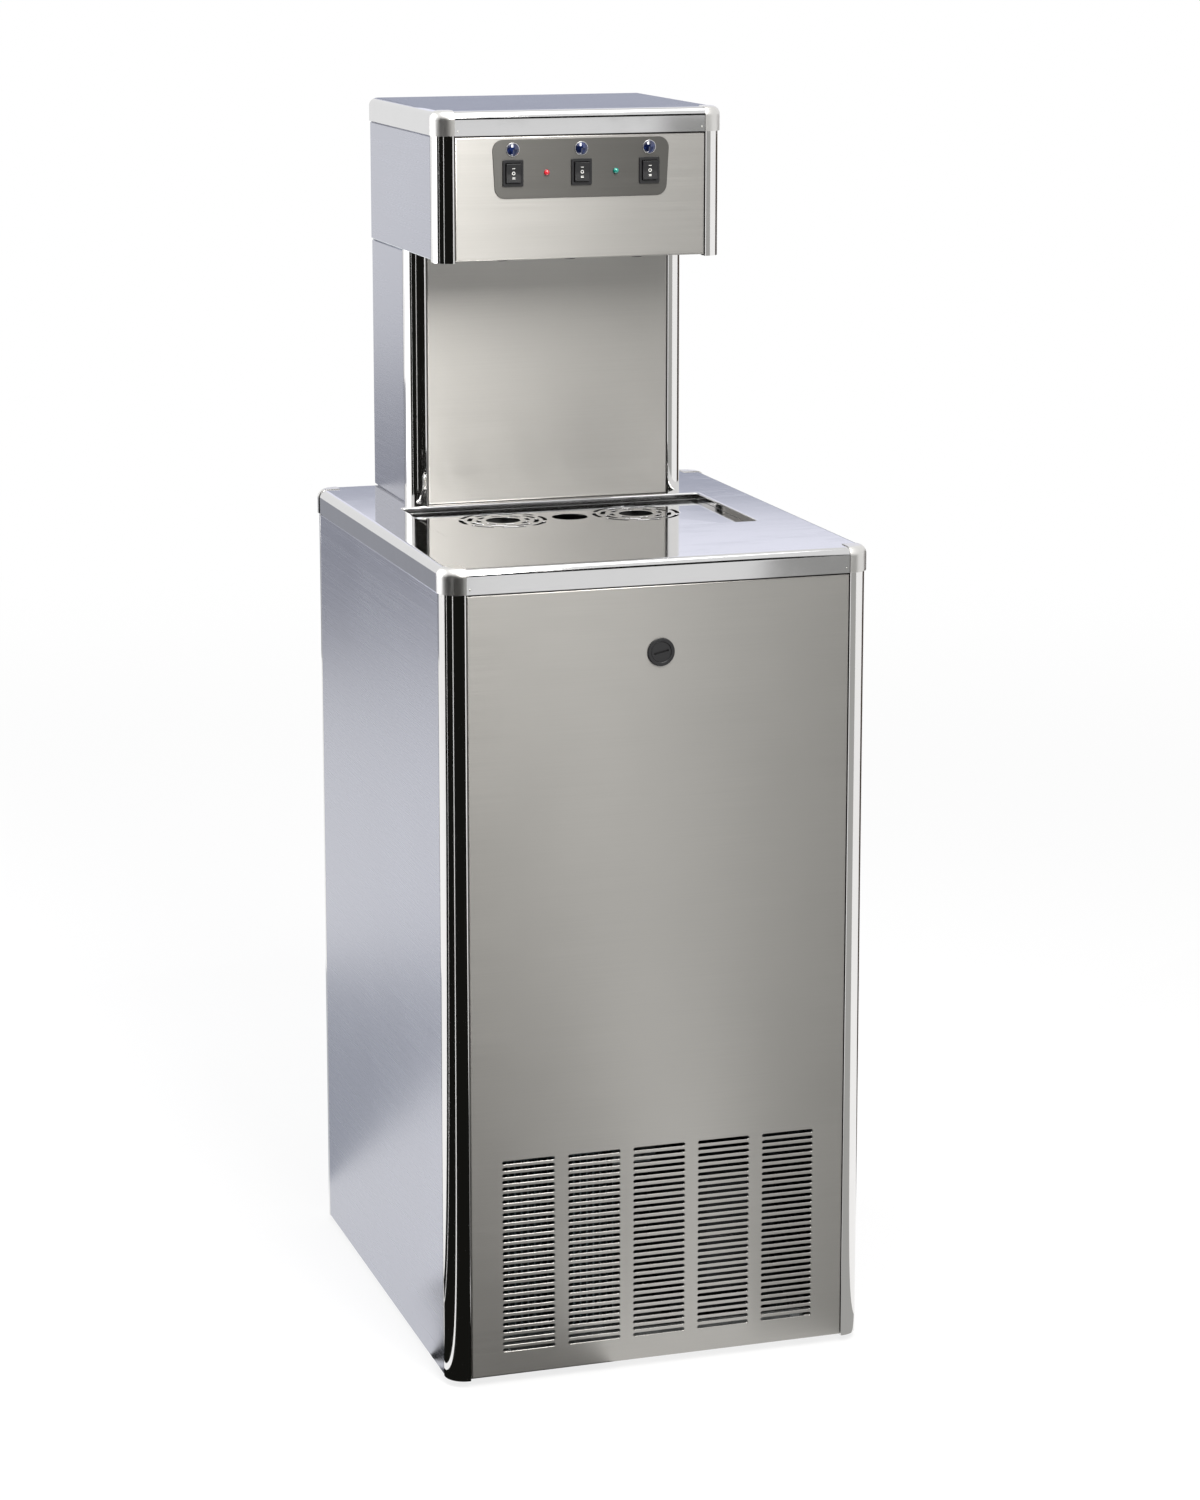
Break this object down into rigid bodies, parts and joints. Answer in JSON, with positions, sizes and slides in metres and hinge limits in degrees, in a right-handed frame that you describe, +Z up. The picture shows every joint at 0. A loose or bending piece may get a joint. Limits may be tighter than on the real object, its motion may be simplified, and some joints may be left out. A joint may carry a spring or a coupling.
{
  "type": "water cooler",
  "caption": "Free-standing steel water cooler: vented cabinet with a tilting locked front, a drip well with ring grilles and a tower whose head has rocker switches over nozzles.",
  "frame": {"origin": "on the floor, at the middle of the cabinet's plan and of its bounding box", "axes": "+Z up, +X to the right of someone who faces the front, the front faces -Y"},
  "size_m": [0.516, 0.62, 1.4608],
  "materials": {
    "front_steel": "fine brushed, satin",
    "side_steel": "satin",
    "polished_steel": "polished",
    "cap_steel": "satin polished",
    "worktop_steel": "mirror polished",
    "control_steel": "satin",
    "galvanised_steel": "galvanised",
    "black_plastic": "matt",
    "lock_metal": "black, satin",
    "zinc": "zinc plated",
    "blue_lens": "clear gloss",
    "red_lens": "clear gloss",
    "green_lens": "clear gloss",
    "hose_plastic": "milky",
    "valve_brass": "satin",
    "foam_plastic": "matt",
    "copper_tube": "satin copper",
    "stainless_vessel": "satin",
    "motor_paint": "satin",
    "compressor_paint": "satin black",
    "fin_aluminium": "bare",
    "grey_plastic": "matt",
    "socket_plastic": "matt",
    "fitting_steel": "satin",
    "foot_rubber": "matt"
  },
  "bodies": {
    "cabinet": {"base_tray": "galvanised_steel", "side_panel_left": "side_steel", "side_panel_right": "side_steel", "corner_profiles_front": "polished_steel", "corner_profiles_rear": "polished_steel", "rear_panel": "galvanised_steel", "front_rail": "galvanised_steel", "worktop": "worktop_steel", "worktop_corner_caps": "cap_steel", "drip_basin": "galvanised_steel", "drain_pipe": "hose_plastic", "column_front_panel": "front_steel", "column_side_left": "side_steel", "column_side_right": "side_steel", "column_profiles": "polished_steel", "tower_rear_panel": "galvanised_steel", "head_front_panel": "front_steel", "head_side_left": "side_steel", "head_side_right": "side_steel", "head_profiles": "polished_steel", "head_underside": "galvanised_steel", "head_lid": "worktop_steel", "lid_corner_caps": "cap_steel", "control_plate": "control_steel", "rocker_bezels": "black_plastic", "indicator_domes": "blue_lens", "led_red": "red_lens", "led_green": "green_lens", "nozzles": "black_plastic", "dispense_tubes": "hose_plastic", "valve_block": "valve_brass", "tank_shelf": "galvanised_steel", "chill_tank": "foam_plastic", "tank_lid": "foam_plastic", "evaporator_coil": "copper_tube", "carbonator": "stainless_vessel", "agitator_motor": "motor_paint", "water_pump": "motor_paint", "compressor": "compressor_paint", "condenser": "fin_aluminium", "fan_shroud": "galvanised_steel", "fan_motor": "motor_paint", "electrical_box": "grey_plastic", "rear_fittings": "fitting_steel", "mains_inlet": "socket_plastic"},
    "front_panel": {"front_panel": "front_steel", "lock_bezel": "lock_metal"},
    "lock": {"lock_barrel": "lock_metal", "lock_cam": "zinc"},
    "drip_plate": {"drip_plate": "worktop_steel"},
    "fan": {"fan_blades": "black_plastic"},
    "agitator": {"agitator_impeller": "stainless_vessel"},
    "thermostat": {"thermostat_knob": "black_plastic"},
    "rocker_left": {"rocker_left": "black_plastic"},
    "rocker_middle": {"rocker_middle": "black_plastic"},
    "rocker_right": {"rocker_right": "black_plastic"},
    "foot_front_left": {"foot_front_left": "foot_rubber"},
    "foot_front_right": {"foot_front_right": "foot_rubber"},
    "foot_rear_left": {"foot_rear_left": "foot_rubber"},
    "foot_rear_right": {"foot_rear_right": "foot_rubber"}
  },
  "joints": [
    {"name": "front_panel_tilt", "type": "hinge", "parent": "cabinet", "child": "front_panel", "pos_m": [0, -0.298, 0.022], "axis": [1, 0, 0], "range_deg": [0, 30]},
    {"name": "lock_turn", "type": "hinge", "parent": "front_panel", "child": "lock", "pos_m": [0, -0.308, 0.862], "axis": [0, 1, 0], "range_deg": [0, 90]},
    {"name": "drip_plate_lift", "type": "slide", "parent": "cabinet", "child": "drip_plate", "axis": [0, 0, 1], "range_m": [0, 0.12]},
    {"name": "fan_spin", "type": "hinge", "parent": "cabinet", "child": "fan", "pos_m": [-0.13, -0.218, 0.15], "axis": [0, 1, 0], "continuous": true},
    {"name": "agitator_spin", "type": "hinge", "parent": "cabinet", "child": "agitator", "pos_m": [0.01, 0.04, 0.6], "axis": [0, 0, 1], "continuous": true},
    {"name": "thermostat_turn", "type": "hinge", "parent": "cabinet", "child": "thermostat", "pos_m": [0.2224, -0.155, 0.7], "axis": [0, 1, 0], "range_deg": [0, 270]},
    {"name": "rocker_left_press", "type": "hinge", "parent": "cabinet", "child": "rocker_left", "pos_m": [-0.085, -0.0065, 1.3863], "axis": [1, 0, 0], "range_deg": [-12, 12]},
    {"name": "rocker_middle_press", "type": "hinge", "parent": "cabinet", "child": "rocker_middle", "pos_m": [0, -0.0065, 1.3863], "axis": [1, 0, 0], "range_deg": [-12, 12]},
    {"name": "rocker_right_press", "type": "hinge", "parent": "cabinet", "child": "rocker_right", "pos_m": [0.085, -0.0065, 1.3863], "axis": [1, 0, 0], "range_deg": [-12, 12]},
    {"name": "foot_front_left_screw", "type": "hinge", "parent": "cabinet", "child": "foot_front_left", "pos_m": [-0.196, -0.248, 0.02], "axis": [0, 0, 1], "continuous": true},
    {"name": "foot_front_right_screw", "type": "hinge", "parent": "cabinet", "child": "foot_front_right", "pos_m": [0.196, -0.248, 0.02], "axis": [0, 0, 1], "continuous": true},
    {"name": "foot_rear_left_screw", "type": "hinge", "parent": "cabinet", "child": "foot_rear_left", "pos_m": [-0.196, 0.248, 0.02], "axis": [0, 0, 1], "continuous": true},
    {"name": "foot_rear_right_screw", "type": "hinge", "parent": "cabinet", "child": "foot_rear_right", "pos_m": [0.196, 0.248, 0.02], "axis": [0, 0, 1], "continuous": true}
  ]
}
